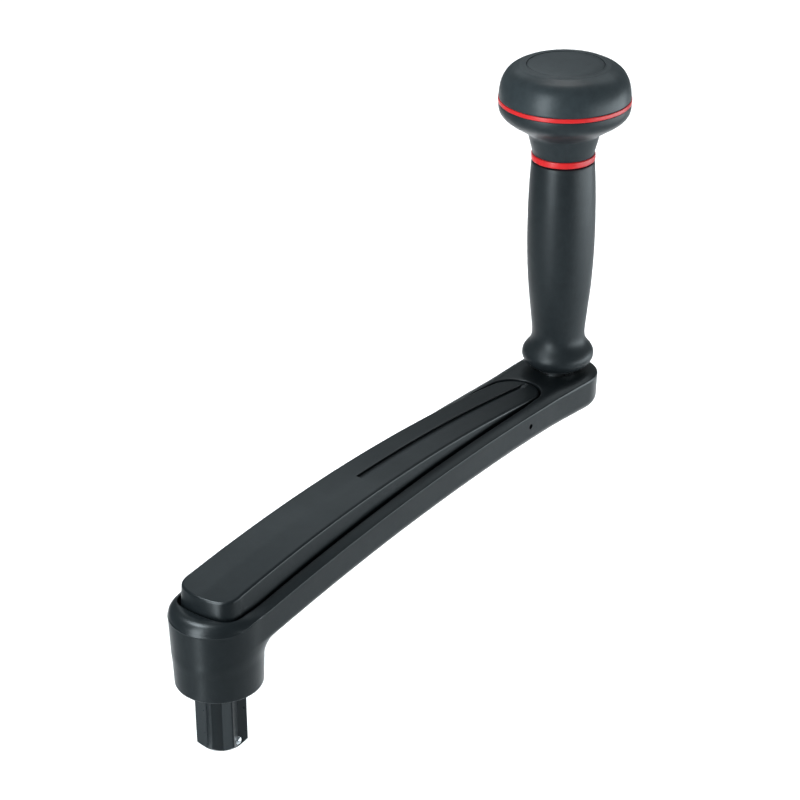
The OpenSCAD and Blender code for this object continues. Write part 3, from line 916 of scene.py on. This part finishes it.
yaw, pitch, roll = (math.radians(a) for a in (51.489, 27.121, -0.261))
d = np.array([math.cos(pitch) * math.sin(yaw), math.cos(pitch) * math.cos(yaw), -math.sin(pitch)])
r = np.array([math.cos(yaw), -math.sin(yaw), 0.0])
u = np.cross(r, d)
r2 = r * math.cos(roll) + u * math.sin(roll)
u2 = -r * math.sin(roll) + u * math.cos(roll)
cam_data = bpy.data.cameras.new("camera")
cam_data.sensor_width = 36.0
cam_data.lens = 2387.7 / 800 * 36
cam_data.clip_start = 0.01
cam_data.clip_end = 50
cam = bpy.data.objects.new("camera", cam_data)
m = Matrix.Identity(4)
for i in range(3):
    m[i][0], m[i][1], m[i][2] = float(r2[i]), float(u2[i]), float(-d[i])
    m[i][3] = (-0.63357, -0.60561, 0.58363)[i]
cam.matrix_world = m
bpy.context.scene.collection.objects.link(cam)
bpy.context.scene.camera = cam


def light(name, azimuth, elevation, dist, w, h, power, colour=(1, 1, 1), aim=(0.13, 0, 0.08), spread=180):
    """A soft box. azimuth is measured from the camera's side of the object, to the right."""
    a = math.atan2(-math.cos(yaw), -math.sin(yaw)) + math.radians(azimuth)
    e = math.radians(elevation)
    p = np.array(aim) + dist * np.array([math.cos(e) * math.cos(a), math.cos(e) * math.sin(a), math.sin(e)])
    data = bpy.data.lights.new(name, "AREA")
    data.shape = "RECTANGLE"
    data.size, data.size_y = w, h
    data.energy = power
    data.color = colour
    data.spread = math.radians(spread)
    ob = bpy.data.objects.new(name, data)
    z = (p - np.array(aim)) / dist
    x = np.cross((0, 0, 1.0), z)
    x /= np.linalg.norm(x)
    y = np.cross(z, x)
    mm = Matrix.Identity(4)
    for i in range(3):
        mm[i][0], mm[i][1], mm[i][2], mm[i][3] = float(x[i]), float(y[i]), float(z[i]), float(p[i])
    ob.matrix_world = mm
    ob.visible_camera = False       # other views show no bare light panel
    bpy.context.scene.collection.objects.link(ob)
    return ob


COOL = (0.84, 0.95, 1.0)
light("background_near", 180, 89.5, 1.1, 0.9, 0.8, 3.3, (1, 1, 1), (0.58, 0.36, -0.3), 50)
light("background_far", 180, 89.5, 1.8, 1.3, 1.1, 9.5, (1, 1, 1), (1.36, 0.98, -0.3), 65)
light("soft_right", 84, -4, 1.1, 1.75, 0.42, 6.9, COOL, (0.19, 0, 0.0), 130)
light("strip_left", -41, 0.5, 0.8, 0.34, 1.16, 7.3, COOL, (0, 0, 0.43), 130)
light("strip_low", -41, 0.5, 0.42, 0.07, 0.24, 0.21, COOL, (0, 0, -0.165), 120)
light("top_hub", -75, 62, 0.45, 0.25, 0.14, 0.3, COOL, (0, 0, 0.045), 60)
light("soft_back", -172, 40, 1.6, 0.9, 0.7, 2.1, COOL, (0.15, 0, 0.08))
light("soft_back_right", 136, 46, 1.5, 0.7, 0.6, 2.0, COOL, (0.12, 0, 0.05))
world = bpy.data.worlds.new("studio")
world.use_nodes = True
world.node_tree.nodes["Background"].inputs[0].default_value = (0.84, 0.95, 1.0, 1)
world.node_tree.nodes["Background"].inputs[1].default_value = 0.17
bpy.context.scene.world = world
bpy.context.scene.view_settings.view_transform = "Standard"
bpy.context.scene.view_settings.look = "None"
